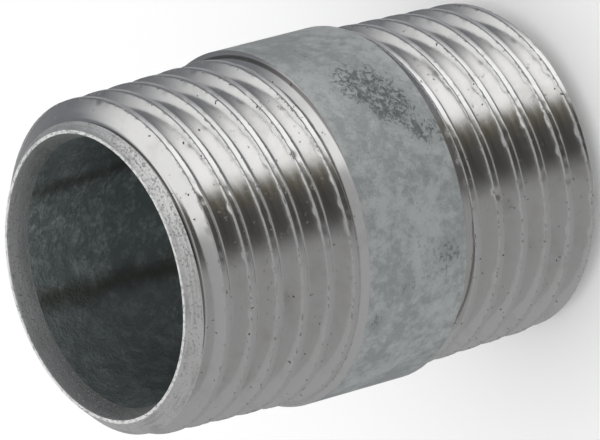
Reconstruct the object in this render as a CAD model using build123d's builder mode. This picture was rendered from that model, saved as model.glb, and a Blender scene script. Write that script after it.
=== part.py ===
from build123d import *
from math import atan, ceil, cos, degrees, radians, tan
import os

os.makedirs("parts", exist_ok=True)

# A steel pipe nipple in millimetres, standing on one end. Z runs along the axis
# of the pipe and the origin is the centre of the lower end face. Each end has a
# right-hand taper pipe thread, and a band of plain pipe is left between them.

# The pipe
nipple_length = 30.3
pipe_diameter = 21.3
wall_thickness = 2.65
lower_thread_length = 11.40
upper_thread_length = 11.75

# The thread: the half inch size, 14 turns to the inch
thread_pitch = 25.4 / 14
thread_depth = 1.10
thread_taper = 1 / 16
flank_angle = 27.5
end_crest_drop = 0.68   # from the pipe's surface down to the crests at the end
crest_flat = 0.40
lower_thread_turn = 207.4
upper_thread_turn = 255.3

# The ends: a cone into the bore, a narrow flat face, a small lip and a chamfer
cone_width = 0.45
cone_depth = 1.2
face_width = 0.20
lip_width = 0.20
lip_height = 0.20
chamfer_angle = 49.0

# The run-out: the cone that the die's throat leaves under the edge of the band
throat_length = 1.45
throat_depth = 1.75

# Radii and slopes that follow from these sizes
pipe_radius = pipe_diameter / 2
bore_radius = pipe_radius - wall_thickness
cone_radius = bore_radius + cone_width
face_radius = cone_radius + face_width
lip_radius = face_radius + lip_width
end_crest_radius = pipe_radius - end_crest_drop
taper_slope = thread_taper / 2
taper_angle = atan(taper_slope)
flank_slope = tan(radians(flank_angle))
root_flat = thread_pitch - crest_flat - 2 * thread_depth * flank_slope
groove_width = thread_pitch - crest_flat
chamfer_slope = tan(radians(chamfer_angle))
chamfer_height = lip_height + (end_crest_radius - lip_radius) / (chamfer_slope - taper_slope)
split_height = (lower_thread_length + nipple_length - upper_thread_length) / 2

# How far a groove's cutter stands proud of the pipe
cutter_reach = 0.3


def crest_radius(height):
    """Radius of the thread's crests at a height above the end."""
    return end_crest_radius + taper_slope * height


def groove_cutters(thread_length):
    """Cutters for the thread's groove, one for each turn, from one pitch below the end."""
    with BuildSketch(Plane.XZ) as section:
        base_radius = crest_radius(-thread_pitch)
        root_radius = base_radius - thread_depth
        proud_radius = base_radius + end_crest_drop + cutter_reach
        with BuildLine():
            Polyline(
                (root_radius, -thread_pitch - root_flat / 2),
                (base_radius, -thread_pitch - groove_width / 2),
                (proud_radius, -thread_pitch - groove_width / 2),
                (proud_radius, -thread_pitch + groove_width / 2),
                (base_radius, -thread_pitch + groove_width / 2),
                (root_radius, -thread_pitch + root_flat / 2),
                close=True,
            )
        make_face()
    turn_start = section.sketch
    cutters = []
    for turn_number in range(ceil(thread_length / thread_pitch) + 1):
        start_height = (turn_number - 1) * thread_pitch
        with BuildPart() as turn:
            with BuildLine() as path:
                Helix(
                    pitch=thread_pitch / cos(taper_angle),
                    height=thread_pitch,
                    radius=crest_radius(start_height),
                    center=(0, 0, start_height),
                    cone_angle=degrees(taper_angle),
                )
            axis_line = Edge.make_line((0, 0, start_height), (0, 0, start_height + thread_pitch))
            sweep(sections=turn_start, path=path.line, binormal=axis_line)
        cutters.append(turn.part)
        # The next turn starts on the face that this one ends with
        turn_start = turn.faces().filter_by(GeomType.PLANE).sort_by(Axis.Z)[-1]
    return cutters


def threaded_end(thread_length, body_length):
    """One threaded end standing on its face, with the plain pipe above it."""
    cutters = groove_cutters(thread_length)
    throat_height = thread_length - throat_length
    with BuildPart() as end:
        with BuildSketch(Plane.YZ):
            with BuildLine():
                Polyline(
                    (bore_radius, cone_depth),
                    (cone_radius, 0),
                    (face_radius, 0),
                    (lip_radius, lip_height),
                    (crest_radius(chamfer_height), chamfer_height),
                    (crest_radius(body_length), body_length),
                    (bore_radius, body_length),
                    close=True,
                )
            make_face()
        revolve(axis=Axis.Z)
        for cutter in cutters:
            add(cutter, mode=Mode.SUBTRACT)
        # The plain pipe, with the cone under its edge that closes the groove
        with BuildSketch(Plane.YZ):
            with BuildLine():
                Polyline(
                    (bore_radius, throat_height),
                    (pipe_radius - throat_depth, throat_height),
                    (pipe_radius, thread_length),
                    (pipe_radius, body_length),
                    (bore_radius, body_length),
                    close=True,
                )
            make_face()
        revolve(axis=Axis.Z)
    return end.part


# The nipple, cut from one length of pipe
lower_end = threaded_end(lower_thread_length, split_height)
upper_end = threaded_end(upper_thread_length, nipple_length - split_height)

with BuildPart() as pipe_nipple:
    add(lower_end, rotation=(0, 0, lower_thread_turn))
    with Locations((0, 0, nipple_length)):
        add(upper_end, rotation=(180, 0, upper_thread_turn))

pipe_nipple.part.label = "pipe_nipple"
export_step(pipe_nipple.part, "parts/pipe_nipple.step")
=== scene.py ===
import bmesh
import bpy
import math
from mathutils import Euler, Matrix, Vector, noise


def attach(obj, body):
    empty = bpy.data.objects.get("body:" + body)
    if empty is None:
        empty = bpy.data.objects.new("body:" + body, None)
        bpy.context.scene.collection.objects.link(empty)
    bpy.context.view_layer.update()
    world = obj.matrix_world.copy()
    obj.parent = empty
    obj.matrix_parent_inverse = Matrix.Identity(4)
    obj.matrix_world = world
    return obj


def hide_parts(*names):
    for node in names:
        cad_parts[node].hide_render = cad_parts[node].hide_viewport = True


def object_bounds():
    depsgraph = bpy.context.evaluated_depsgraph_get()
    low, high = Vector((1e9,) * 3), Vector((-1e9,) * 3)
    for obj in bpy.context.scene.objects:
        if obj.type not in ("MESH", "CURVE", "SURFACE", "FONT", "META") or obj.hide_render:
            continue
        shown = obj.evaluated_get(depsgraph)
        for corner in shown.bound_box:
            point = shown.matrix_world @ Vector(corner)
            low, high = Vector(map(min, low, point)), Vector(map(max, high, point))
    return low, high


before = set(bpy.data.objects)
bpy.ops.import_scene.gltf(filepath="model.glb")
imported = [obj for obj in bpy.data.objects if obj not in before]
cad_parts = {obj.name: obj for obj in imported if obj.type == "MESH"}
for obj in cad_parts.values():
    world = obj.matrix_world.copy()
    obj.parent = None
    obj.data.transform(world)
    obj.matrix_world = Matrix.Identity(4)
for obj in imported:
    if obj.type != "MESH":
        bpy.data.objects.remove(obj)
cadBounds = [list(corner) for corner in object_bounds()]
print("frame loaded")

mm = 0.001
pipeLength = cadBounds[1][2] / mm
pipeRadius = cadBounds[1][0] / mm

# Lengths are in millimetres until a finished piece is scaled to metres
thread = {
    "pitch": 25.4 / 14,
    "flankAngle": 27.5,
    "crestFlat": 0.40,
    "crestRounding": 0.06,
    "rootRounding": 0.46,    # how far up each flank the round of the root reaches
    "endRadius": 9.97,       # of the crests, at the end of the pipe
    "taper": 1 / 32,         # growth of the radius with height
    "steps": 320,            # faces round one turn
    "nickDepth": 0.07,
    "nickSize": 0.45,
}

# each thread is turned by a whole number of its steps, so that the two ends' points line up
upperEnd = {"threadLength": 11.75, "turn": 255.375, "flip": True}
lowerEnd = {"threadLength": 11.40, "turn": 207.0, "flip": False}

endForm = {
    "boreRadius": 8.0,
    "coneRadius": 8.45,
    "coneDepth": 1.2,
    "faceRadius": 8.65,
    "lipRadius": 8.85,
    "lipHeight": 0.20,
    "chamferAngle": 49.0,
    "throatLength": 1.45,    # the cone left by the die under the band's edge
    "throatDepth": 1.75,
    "wallOffset": (-0.235, 0.181),   # the bore isn't quite on the thread's axis
}


def radiusOf(vert):
    return math.hypot(vert.co.x, vert.co.y)


def setRadius(vert, radius):
    growth = radius / radiusOf(vert)
    vert.co.x *= growth
    vert.co.y *= growth


def cutLevel(bm, height, clearAbove=False, clearBelow=False):
    bmesh.ops.bisect_plane(bm, geom=bm.verts[:] + bm.edges[:] + bm.faces[:], dist=0.0002,
                           plane_co=(0, 0, height), plane_no=(0, 0, 1),
                           clear_outer=clearAbove, clear_inner=clearBelow)


def cutAlongCone(bm, radius, height, slope):
    # leaning every point back by the cone's slope turns the cone into a level plane
    for vert in bm.verts:
        vert.co.z -= radiusOf(vert) / slope
    cutLevel(bm, height - radius / slope)
    for vert in bm.verts:
        vert.co.z += radiusOf(vert) / slope


def threadSurface(turns):
    pitch = thread["pitch"]
    halfGroove = (pitch - thread["crestFlat"]) / 2
    # the flanks run on to a sharp root, which is then rounded; a point near each crest keeps them flat
    flankLean = math.tan(math.radians(thread["flankAngle"]))
    hold = thread["crestRounding"] * 1.5
    outline = [
        (0, -pitch / 2),
        (0, -halfGroove),
        (-hold, hold * flankLean - halfGroove),
        (-halfGroove / flankLean, 0),
        (-hold, halfGroove - hold * flankLean),
        (0, halfGroove),
        (0, pitch / 2),
    ]
    bm = bmesh.new()
    points = [bm.verts.new((thread["endRadius"] + rise, 0, height - pitch)) for rise, height in outline]
    for pair in zip(points, points[1:]):
        bm.edges.new(pair)
    roots = [vert for vert in bm.verts if vert.co.x < thread["endRadius"] - 2 * hold]
    bmesh.ops.bevel(bm, geom=roots, offset=thread["rootRounding"], offset_type="OFFSET",
                    segments=7, profile=0.5, affect="VERTICES", material=-1)
    crests = [vert for vert in bm.verts if vert.co.x > thread["endRadius"] - 0.01 and len(vert.link_edges) == 2]
    bmesh.ops.bevel(bm, geom=crests, offset=thread["crestRounding"], offset_type="OFFSET",
                    segments=2, profile=0.5, affect="VERTICES", material=-1)
    flanks = [edge for edge in bm.edges if edge.calc_length() > 0.5]
    bmesh.ops.subdivide_edges(bm, edges=flanks, cuts=2)
    rootRadius = min(vert.co.x for vert in bm.verts)
    print("one turn's outline:", len(bm.verts), "points, depth", round(thread["endRadius"] - rootRadius, 3))
    steps = thread["steps"]
    bmesh.ops.spin(bm, geom=bm.verts[:] + bm.edges[:], cent=(0, 0, 0), axis=(0, 0, 1),
                   dvec=(0, 0, pitch / steps), angle=2 * math.pi, steps=steps)
    # one turn meets itself a pitch higher, so copies of it make the whole thread
    oneTurn = bpy.data.meshes.new("oneTurn")
    bm.to_mesh(oneTurn)
    for turn in range(1, turns):
        bmesh.ops.translate(bm, verts=bm.verts[:], vec=(0, 0, -pitch))
        bm.from_mesh(oneTurn)
    bmesh.ops.translate(bm, verts=bm.verts[:], vec=(0, 0, (turns - 1) * pitch))
    bpy.data.meshes.remove(oneTurn)
    bmesh.ops.remove_doubles(bm, verts=bm.verts[:], dist=0.002)
    for vert in bm.verts:
        setRadius(vert, radiusOf(vert) + thread["taper"] * vert.co.z)
    return bm


def nickCrests(bm, length):
    # small dents and burrs where the die has torn the crests
    for vert in bm.verts:
        crest = thread["endRadius"] + thread["taper"] * vert.co.z
        if radiusOf(vert) < crest - 0.09 or not 1.2 < vert.co.z < length - 0.6:
            continue
        torn = noise.noise(vert.co / thread["nickSize"]) + 0.5 * noise.noise(vert.co / (thread["nickSize"] * 0.4))
        setRadius(vert, radiusOf(vert) - thread["nickDepth"] * max(0, torn - 0.22))


def openLoop(bm, height):
    return [edge for edge in bm.edges
            if edge.is_boundary and all(abs(vert.co.z - height) < 0.002 for vert in edge.verts)]


def evenLoop(bm, height):
    # only one point of the loop is kept for each of the turn's equal steps
    stepAngle = 2 * math.pi / thread["steps"]
    points = {vert for edge in openLoop(bm, height) for vert in edge.verts}
    places = {vert: math.atan2(vert.co.y, vert.co.x) / stepAngle for vert in points}
    kept = {}
    for vert in sorted(points, key=lambda vert: abs(places[vert] - round(places[vert]))):
        kept.setdefault(round(places[vert]) % thread["steps"], vert)
    spare = points - set(kept.values())
    bmesh.ops.dissolve_verts(bm, verts=list(spare), use_face_split=False, use_boundary_tear=False)
    return openLoop(bm, height)


def extrudeRing(bm, edges, radius, height):
    grown = bmesh.ops.extrude_edge_only(bm, edges=edges)["geom"]
    for item in grown:
        if isinstance(item, bmesh.types.BMVert):
            setRadius(item, radius)
            item.co.z = height
        elif isinstance(item, bmesh.types.BMFace):
            item.material_index = 3
    return [edge for edge in grown if isinstance(edge, bmesh.types.BMEdge) and edge.is_boundary]


def joinLoops(bm, fromHeight, toHeight, slotNumber):
    waiting = {vert for edge in openLoop(bm, toHeight) for vert in edge.verts}
    grown = bmesh.ops.extrude_edge_only(bm, edges=openLoop(bm, fromHeight))["geom"]
    joined = {}
    for item in grown:
        if isinstance(item, bmesh.types.BMFace):
            item.material_index = slotNumber
        elif isinstance(item, bmesh.types.BMVert):
            item.co.z = toHeight
            joined[item] = min(waiting, key=lambda vert: (vert.co - item.co).length_squared)
    bmesh.ops.weld_verts(bm, targetmap=joined)


def threadedEnd(sizes):
    length = sizes["threadLength"]
    bm = threadSurface(math.ceil(length / thread["pitch"]) + 2)
    # the cone under the band's edge closes the groove
    throatSlope = endForm["throatDepth"] / endForm["throatLength"]
    cutLevel(bm, length, clearAbove=True)
    cutAlongCone(bm, pipeRadius, length, throatSlope)
    for vert in bm.verts:
        floor = pipeRadius + throatSlope * (vert.co.z - length)
        if radiusOf(vert) < floor:
            setRadius(vert, floor)
    # the chamfer at the end
    chamferSlope = math.tan(math.radians(endForm["chamferAngle"]))
    cutLevel(bm, endForm["lipHeight"], clearBelow=True)
    cutAlongCone(bm, endForm["lipRadius"], endForm["lipHeight"], chamferSlope)
    for vert in bm.verts:
        ceiling = endForm["lipRadius"] + chamferSlope * (vert.co.z - endForm["lipHeight"])
        if radiusOf(vert) > ceiling:
            setRadius(vert, ceiling)
    for face in bm.faces:
        if all(radiusOf(vert) > endForm["lipRadius"] - 0.001 + chamferSlope * (vert.co.z - endForm["lipHeight"])
               for vert in face.verts):
            face.material_index = 3
    nickCrests(bm, length)
    evenLoop(bm, length)
    # the lip, the flat ring and the cone into the bore
    ring = evenLoop(bm, endForm["lipHeight"])
    ring = extrudeRing(bm, ring, endForm["faceRadius"], 0)
    ring = extrudeRing(bm, ring, endForm["coneRadius"], 0.0)
    ring = extrudeRing(bm, ring, endForm["boreRadius"], endForm["coneDepth"])
    # turned and stood where it belongs
    bmesh.ops.rotate(bm, verts=bm.verts[:], cent=(0, 0, 0), matrix=Matrix.Rotation(math.radians(sizes["turn"]), 3, "Z"))
    if sizes["flip"]:
        bmesh.ops.rotate(bm, verts=bm.verts[:], cent=(0, 0, 0), matrix=Matrix.Rotation(math.pi, 3, "X"))
        bmesh.ops.translate(bm, verts=bm.verts[:], vec=(0, 0, pipeLength))
    mesh = bpy.data.meshes.new("threadedEnd")
    bm.to_mesh(mesh)
    bm.free()
    return mesh


def buildNipple():
    bm = bmesh.new()
    for end in (lowerEnd, upperEnd):
        mesh = threadedEnd(end)
        bm.from_mesh(mesh)
        bpy.data.meshes.remove(mesh)
    joinLoops(bm, lowerEnd["threadLength"], pipeLength - upperEnd["threadLength"], 1)
    joinLoops(bm, endForm["coneDepth"], pipeLength - endForm["coneDepth"], 2)
    # the bore and the end faces lie a little to one side
    for vert in bm.verts:
        fromEnd = min(vert.co.z, pipeLength - vert.co.z)
        inner = radiusOf(vert) < endForm["lipRadius"] + 0.001
        share = 1 if inner else min(1, max(0, 1.2 - fromEnd))
        vert.co.x += share * endForm["wallOffset"][0]
        vert.co.y += share * endForm["wallOffset"][1]
    bmesh.ops.recalc_face_normals(bm, faces=bm.faces[:])
    bmesh.ops.scale(bm, verts=bm.verts[:], vec=(mm, mm, mm))
    mesh = bpy.data.meshes.new("nipple")
    bm.to_mesh(mesh)
    openEdges = sum(not edge.is_manifold for edge in bm.edges)
    print("nipple:", len(bm.verts), "points,", openEdges, "open edges,", sum(len(face.verts) - 2 for face in bm.faces), "triangles")
    bm.free()
    mesh.shade_smooth()
    mesh.set_sharp_from_angle(angle=math.radians(32))
    piece = bpy.data.objects.new("nipple", mesh)
    bpy.context.scene.collection.objects.link(piece)
    return piece


nipple = buildNipple()
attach(nipple, "root")
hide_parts("pipe_nipple")
print("nipple built")


class Wire:
    # a socket in an expression: each operator adds its Math node
    def __init__(self, recipe, socket):
        self.recipe = recipe
        self.socket = socket

    def maths(self, operation, first, second):
        return self.recipe.node("ShaderNodeMath", {"operation": operation}, {0: first, 1: second})

    def __add__(self, other):
        return self.maths("ADD", self, other)

    def __sub__(self, other):
        return self.maths("SUBTRACT", self, other)

    def __rsub__(self, other):
        return self.maths("SUBTRACT", other, self)

    def __mul__(self, other):
        return self.maths("MULTIPLY", self, other)

    def __truediv__(self, other):
        return self.maths("DIVIDE", self, other)

    def __pow__(self, other):
        return self.maths("POWER", self, other)

    __radd__ = __add__
    __rmul__ = __mul__


class Recipe:
    # the nodes of one material, or of the studio's light
    def __init__(self, tree):
        self.tree = tree

    def node(self, kind, settings, sockets, output=0):
        made = self.tree.nodes.new(kind)
        for name, value in settings.items():
            setattr(made, name, value)
        for name, value in sockets.items():
            if isinstance(value, Wire):
                self.tree.links.new(value.socket, made.inputs[name])
            else:
                made.inputs[name].default_value = value
        return Wire(self, made.outputs[output])

    def rise(self, value, low, high):
        # 0 below low, 1 above high, with a soft step between
        return self.node("ShaderNodeMapRange", {"interpolation_type": "SMOOTHSTEP"},
                         {"Value": value, "From Min": low, "From Max": high})

    def parts(self, vector):
        return [self.node("ShaderNodeSeparateXYZ", {}, {"Vector": vector}, axis) for axis in range(3)]

    def vector(self, x, y, z):
        return self.node("ShaderNodeCombineXYZ", {}, {"X": x, "Y": y, "Z": z})

    def scaled(self, vector, scale):
        return self.node("ShaderNodeVectorMath", {"operation": "SCALE"}, {"Vector": vector, "Scale": scale})

    def blend(self, share, first, second):
        # sockets 6 and 7 of a Mix node are its two colours, and 2 is the mixed colour
        colours = {6: first, 7: second}
        sockets = {place: value if isinstance(value, Wire) else (*value, 1) for place, value in colours.items()}
        return self.node("ShaderNodeMix", {"data_type": "RGBA"}, {0: share, **sockets}, 2)

    def noise(self, vector, scale, detail=2.0, roughness=0.5, distortion=0.0):
        return self.node("ShaderNodeTexNoise", {}, {"Vector": vector, "Scale": scale, "Detail": detail,
                                                    "Roughness": roughness, "Distortion": distortion})

    def grain(self, vector, scale, output=0):
        return self.node("ShaderNodeTexVoronoi", {}, {"Vector": vector, "Scale": scale}, output)

    def bump(self, height, distance, strength=1.0):
        return self.node("ShaderNodeBump", {}, {"Height": height, "Distance": distance, "Strength": strength})

    def place(self):
        # Object coordinates, in millimetres
        return self.scaled(self.node("ShaderNodeTexCoord", {}, {}, 3), 1 / mm)


# The finishes. Marks that the photograph shows lie at an angle round the pipe, in degrees, and a height
steelLook = {
    "colour": (0.85, 0.845, 0.835),
    "crestColour": (0.76, 0.76, 0.75),
    # dark grey of the pits and nicks, also used for the painted shade along the thread roots
    "stainColour": (0.56, 0.555, 0.54),
    "pitAndRootShadeColour": (0.20, 0.19, 0.18),
    "roughness": 0.17,
    "lineDepth": 0.0035,
}

faceLook = {
    "colour": (0.84, 0.84, 0.83),
    "shadeColour": (0.45, 0.45, 0.45),
    "roughness": 0.42,
    "pitDepth": 0.03,
}

bandLook = {
    "colour": (0.29, 0.31, 0.31),
    "paleColour": (0.43, 0.452, 0.452),
    "darkColour": (0.075, 0.082, 0.080),
    "roughness": 0.52,
    "metallic": 0.45,
    # angle, height, reach round, reach along, strength
    "patches": [(-52, 14.6, 11, 2.2, 1.0), (-64, 13.6, 9, 1.6, 1.0), (-75, 12.2, 5, 1.3, 0.9),
                (-113, 12.8, 7, 1.5, 0.7), (-122, 15.6, 4, 0.8, 0.6), (-131, 17.6, 5, 0.9, 0.6),
                (-30, 16.4, 10, 1.2, 0.4)],
}

boreLook = {
    "colour": (0.34, 0.38, 0.38),
    "paleColour": (0.68, 0.74, 0.72),
    "shadeColour": (0.29, 0.32, 0.335),
    "darkColour": (0.14, 0.145, 0.12),
    "roughness": 0.50,
    # angle of the middle, half width, strength
    "bands": [(47, 4, 0.7), (96, 6, 0.85)],
}


def newRecipe(name):
    material = bpy.data.materials.new(name)
    material.use_nodes = True
    return material, Recipe(material.node_tree)


def finishMetal(recipe, colour, roughness, normal, metallic=1.0):
    shader = recipe.tree.nodes["Principled BSDF"]
    shader.inputs["Metallic"].default_value = metallic
    for socketName, wire in (("Base Color", colour), ("Roughness", roughness), ("Normal", normal)):
        recipe.tree.links.new(wire.socket, shader.inputs[socketName])


def roundThePipe(recipe, x, y):
    # the angle in turns, from -0.5 to 0.5
    return recipe.node("ShaderNodeMath", {"operation": "ARCTAN2"}, {0: y, 1: x}) / (2 * math.pi)


def spot(recipe, value, middle, reach):
    # 1 at the middle and 0 beyond the reach
    away = recipe.node("ShaderNodeMath", {"operation": "ABSOLUTE"}, {0: value - middle})
    return 1 - recipe.rise(away, 0.0, reach)


def cutSteel():
    material, recipe = newRecipe("cutSteel")
    place = recipe.place()
    x, y, z = recipe.parts(place)
    turns = roundThePipe(recipe, x, y)
    # how far across the thread a point is: 0 at a root, 0.5 at a crest
    upper = recipe.node("ShaderNodeMath", {"operation": "GREATER_THAN"}, {0: z, 1: pipeLength / 2})
    lowerStart = lowerEnd["turn"] / 360
    upperStart = -pipeLength / thread["pitch"] - upperEnd["turn"] / 360
    across = z / thread["pitch"] - turns + lowerStart + upper * (upperStart - lowerStart)
    across = recipe.node("ShaderNodeMath", {"operation": "FRACT"}, {0: across})
    fromRoot = recipe.node("ShaderNodeMath", {"operation": "ABSOLUTE"}, {0: across - 0.5})
    fromRoot = 0.5 - fromRoot
    # fine lines left by the die, long round the pipe and narrow across the thread
    lines = recipe.noise(recipe.vector(x * 0.35, y * 0.35, across * 13), 1.0, 2.0, 0.6)
    coarse = recipe.noise(recipe.vector(x * 0.22, y * 0.22, across * 7), 1.0, 1.0)
    clouds = recipe.noise(place, 0.45, 3.0, 0.6)
    specks = recipe.noise(place, 3.2, 2.0, 0.6)
    pits = recipe.rise(specks, 0.70, 0.74)
    crest = recipe.rise(fromRoot, 0.37, 0.40)
    # painted shade: the deepest part of each root is darkened to a dark grey, standing in for the shadow there
    paintedRootShade = 1 - recipe.rise(fromRoot, 0.025, 0.06)
    stain = recipe.rise(clouds, 0.50, 0.75) * 0.3
    colour = recipe.blend(crest * 0.8, steelLook["colour"], steelLook["crestColour"])
    colour = recipe.blend(stain, colour, steelLook["stainColour"])
    colour = recipe.blend(paintedRootShade * 0.85, colour, steelLook["pitAndRootShadeColour"])
    # nicks along the two edges of the crest
    ragged = recipe.rise(recipe.noise(place, 3.6, 3.0, 0.75), 0.54, 0.66)
    nicks = spot(recipe, fromRoot, 0.385, 0.035) * ragged
    colour = recipe.blend(nicks * 0.7, colour, steelLook["pitAndRootShadeColour"])
    colour = recipe.blend(pits, colour, steelLook["pitAndRootShadeColour"])
    roughness = steelLook["roughness"] + (lines - 0.5) * 0.10 + (clouds - 0.5) * 0.08 + crest * 0.08 + pits * 0.3
    height = lines * 0.7 + coarse * 0.8 - pits * 3.0 - nicks * 6.0 + specks * crest * 1.5
    finishMetal(recipe, colour, roughness, recipe.bump(height, steelLook["lineDepth"] * mm))
    return material


def cutFace():
    material, recipe = newRecipe("cutFace")
    place = recipe.place()
    x, y, z = recipe.parts(place)
    fromAxis = [value - offset for value, offset in zip((x, y), endForm["wallOffset"])]
    radius = (fromAxis[0] ** 2.0 + fromAxis[1] ** 2.0) ** 0.5
    rings = recipe.noise(recipe.vector(x * 0.3, y * 0.3, radius * 9), 1.0, 2.0)
    grains = recipe.noise(place, 5.5, 3.0, 0.7)
    clouds = recipe.noise(place, 0.5, 2.0)
    pits = recipe.rise(grains, 0.54, 0.66)
    shade = recipe.rise(rings + clouds, 0.95, 1.25) * 0.5
    # painted shade: the cone into the bore is darkened towards the shade colour
    paintedConeShade = 1 - recipe.rise(radius, endForm["coneRadius"] - 0.05, endForm["coneRadius"])
    colour = recipe.blend(shade, faceLook["colour"], faceLook["shadeColour"])
    colour = recipe.blend(paintedConeShade * 0.55, colour, faceLook["shadeColour"])
    colour = recipe.blend(pits * 0.6, colour, faceLook["shadeColour"])
    roughness = faceLook["roughness"] + (grains - 0.5) * 0.3
    height = grains + rings * 0.6 - pits
    finishMetal(recipe, colour, roughness, recipe.bump(height, faceLook["pitDepth"] * mm))
    return material


def zincBand():
    material, recipe = newRecipe("zincBand")
    place = recipe.place()
    x, y, z = recipe.parts(place)
    turns = roundThePipe(recipe, x, y)
    mottle = recipe.noise(place, 1.3, 6.0, 0.72)
    broad = recipe.noise(place, 0.28, 2.0)
    fine = recipe.noise(place, 4.5, 4.0, 0.7)
    flecks = recipe.noise(recipe.vector(x * 2.2, y * 2.2, z * 3.0), 1.0, 5.0, 0.75, 0.8)
    patch = 0.0
    for angle, height, wide, long, strength in bandLook["patches"]:
        patch = patch + spot(recipe, turns, angle / 360, wide * 1.6 / 360) * spot(recipe, z, height, long * 1.6) * strength
    patch = recipe.rise(patch + (broad - 0.5) * 0.4, 0.0, 1.0)
    dark = recipe.rise(flecks + patch * 0.13, 0.59, 0.70) * (0.35 + patch * 0.5)
    pale = recipe.rise(mottle * 0.8 + (broad - 0.5) * 0.5 + fine * 0.2, 0.38, 0.62)
    colour = recipe.blend(pale, bandLook["colour"], bandLook["paleColour"])
    colour = recipe.blend(patch * recipe.rise(mottle, 0.42, 0.60) * 0.45, colour, bandLook["darkColour"])
    colour = recipe.blend(recipe.rise(fine, 0.56, 0.72) * 0.3, colour, bandLook["darkColour"])
    colour = recipe.blend(dark * 0.85, colour, bandLook["darkColour"])
    roughness = bandLook["roughness"] + (mottle - 0.5) * 0.25 + dark * 0.15
    finishMetal(recipe, colour, roughness, recipe.bump(mottle + fine * 0.6 - dark * 0.5, 0.05 * mm),
                bandLook["metallic"])
    return material


def zincBore():
    material, recipe = newRecipe("zincBore")
    place = recipe.place()
    x, y, z = recipe.parts(place)
    turns = roundThePipe(recipe, x, y)
    mottle = recipe.noise(place, 0.9, 5.0, 0.65, 0.3)
    fine = recipe.noise(place, 3.0, 4.0, 0.7)
    wander = (recipe.noise(place, 0.3, 2.0) - 0.5) * 0.03
    band = 0.0
    for angle, wide, strength in boreLook["bands"]:
        band = band + spot(recipe, turns + wander, angle / 360, wide * 1.6 / 360) * strength
    pale = recipe.rise(mottle * 0.5 + fine * 0.5, 0.44, 0.68)
    colour = recipe.blend(pale, boreLook["colour"], boreLook["paleColour"])
    # the strip of the wall between the two bands is the palest
    beside = recipe.rise(turns + wander, 94 / 360, 104 / 360) + 1 - recipe.rise(turns + wander, 36 / 360, 50 / 360)
    colour = recipe.blend(beside * 0.6, colour, boreLook["shadeColour"])
    colour = recipe.blend(band, colour, boreLook["darkColour"])
    roughness = boreLook["roughness"] + (mottle - 0.5) * 0.3
    finishMetal(recipe, colour, roughness, recipe.bump(mottle * 1.4 + fine * 0.8, 0.10 * mm))
    return material


for finish in (cutSteel, zincBand, zincBore, cutFace):
    nipple.data.materials.append(finish())
print("finishes made")

# Floor and studio. What the metal mirrors is one soft box, a dark strip beside it and an even
# grey all round; angles are in degrees round the nipple from the camera's side, towards +X
studio = {
    "floorSize": 1.2,
    "floorColour": (0.93, 0.93, 0.93),
    "plainSky": (1.12, 1.12, 1.12),
    "evenGrey": (0.33, 0.33, 0.335),
    "darkStrip": (0.050, 0.047, 0.047),
    "stripEdge": (0.095, 0.082, 0.052),
    "farGrey": (0.155, 0.16, 0.175),
    "lowGrey": (0.36, 0.36, 0.38),
    "softBox": (1.20, 1.20, 1.205),
    "topLight": (1.1, 1.1, 1.1),
    "overhead": (0.85, 0.85, 0.85),
    "stripStart": (-24, -6),
    "stripTurn": (10, 30),
    "boxStart": (30, 38),
    "boxEnd": (68, 112),
    "boxTop": (-0.34, -0.12),
    "farEnd": (150, 178),
}


def buildFloor():
    bm = bmesh.new()
    bmesh.ops.create_grid(bm, x_segments=1, y_segments=1, size=studio["floorSize"] / 2)
    mesh = bpy.data.meshes.new("floor")
    bm.to_mesh(mesh)
    bm.free()
    floor = bpy.data.objects.new("floor", mesh)
    bpy.context.scene.collection.objects.link(floor)
    material, recipe = newRecipe("paleFloor")
    shader = recipe.tree.nodes["Principled BSDF"]
    shader.inputs["Base Color"].default_value = (*studio["floorColour"], 1)
    shader.inputs["Roughness"].default_value = 0.9
    mesh.materials.append(material)
    floor.visible_glossy = False    # the metal mirrors the studio all round, as in the photograph


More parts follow.
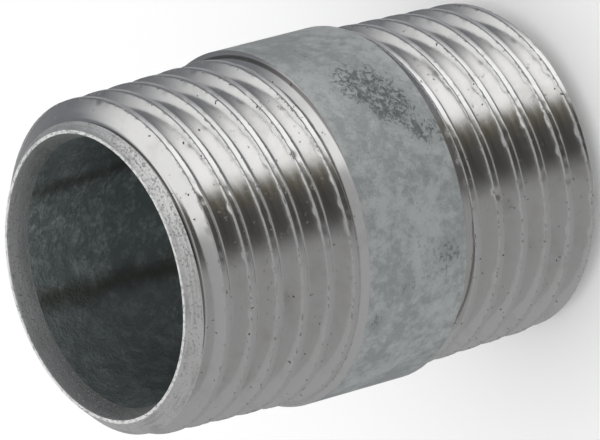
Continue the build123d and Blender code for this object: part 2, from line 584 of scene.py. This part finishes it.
def buildSky():
    world = bpy.data.worlds.new("studio")
    world.use_nodes = True
    recipe = Recipe(world.node_tree)
    x, y, z = recipe.parts(recipe.node("ShaderNodeTexCoord", {}, {}, 0))
    angle = recipe.node("ShaderNodeMath", {"operation": "ARCTAN2"}, {0: x, 1: y * -1}) * (180 / math.pi)
    strip = recipe.rise(angle, *studio["stripStart"])
    between = recipe.rise(z, -0.15, 0.10)
    darkTone = recipe.blend(recipe.rise(angle, *studio["stripTurn"]), studio["darkStrip"], studio["stripEdge"])
    left = recipe.blend(strip, studio["evenGrey"], darkTone)
    left = recipe.blend(between, left, studio["evenGrey"])
    boxShare = (1 - recipe.rise(angle, *studio["boxEnd"])) * (1 - recipe.rise(z, *studio["boxTop"]))
    farTone = recipe.blend(recipe.rise(z, -0.55, -0.30), studio["lowGrey"], studio["farGrey"])
    right = recipe.blend(boxShare, farTone, studio["softBox"])
    right = recipe.blend(recipe.rise(z, 0.45, 0.80), right, studio["overhead"])
    sky = recipe.blend(recipe.rise(angle, *studio["boxStart"]), left, right)
    sky = recipe.blend(recipe.rise(angle, *studio["farEnd"]), sky, studio["evenGrey"])
    narrow = 1 - recipe.rise(recipe.node("ShaderNodeMath", {"operation": "ABSOLUTE"}, {0: x}), 0.25, 0.42)
    overEnd = recipe.rise(z, 0.30, 0.50) * recipe.rise(y, 0.35, 0.70) * narrow
    sky = recipe.blend(overEnd, sky, studio["topLight"])
    # all else is lit by a plain sky
    mirrored = recipe.node("ShaderNodeLightPath", {}, {}, 3)
    sky = recipe.blend(mirrored, studio["plainSky"], sky)
    recipe.tree.links.new(sky.socket, recipe.tree.nodes["Background"].inputs["Color"])
    bpy.context.scene.world = world


buildFloor()
buildSky()
bpy.context.scene.view_settings.view_transform = "Standard"

# The photograph's viewing angle, in a frame of 600 by 440
view = {
    "focalPixels": 7539.3,
    "frameWidth": 600,
    "target": (-0.156, 0, 15.33),
    "distance": 441.55,
    "elevation": 35.505,
    "azimuth": 0.025,
    "roll": -105.15,
}


def buildCamera():
    camera = bpy.data.cameras.new("camera")
    camera.sensor_width = 36
    camera.lens = view["focalPixels"] / view["frameWidth"] * camera.sensor_width
    camera.clip_start = 0.01
    camera.clip_end = 10
    holder = bpy.data.objects.new("camera", camera)
    bpy.context.scene.collection.objects.link(holder)
    turned = Euler((math.radians(90 - view["elevation"]), 0, math.radians(view["azimuth"]))).to_matrix()
    back = turned @ Vector((0, 0, view["distance"]))
    place = Matrix.Translation((Vector(view["target"]) + back) * mm)
    roll = Matrix.Rotation(math.radians(view["roll"]), 4, "Z")
    holder.matrix_world = place @ turned.to_4x4() @ roll
    bpy.context.scene.camera = holder


buildCamera()
print("camera, floor and lights placed")
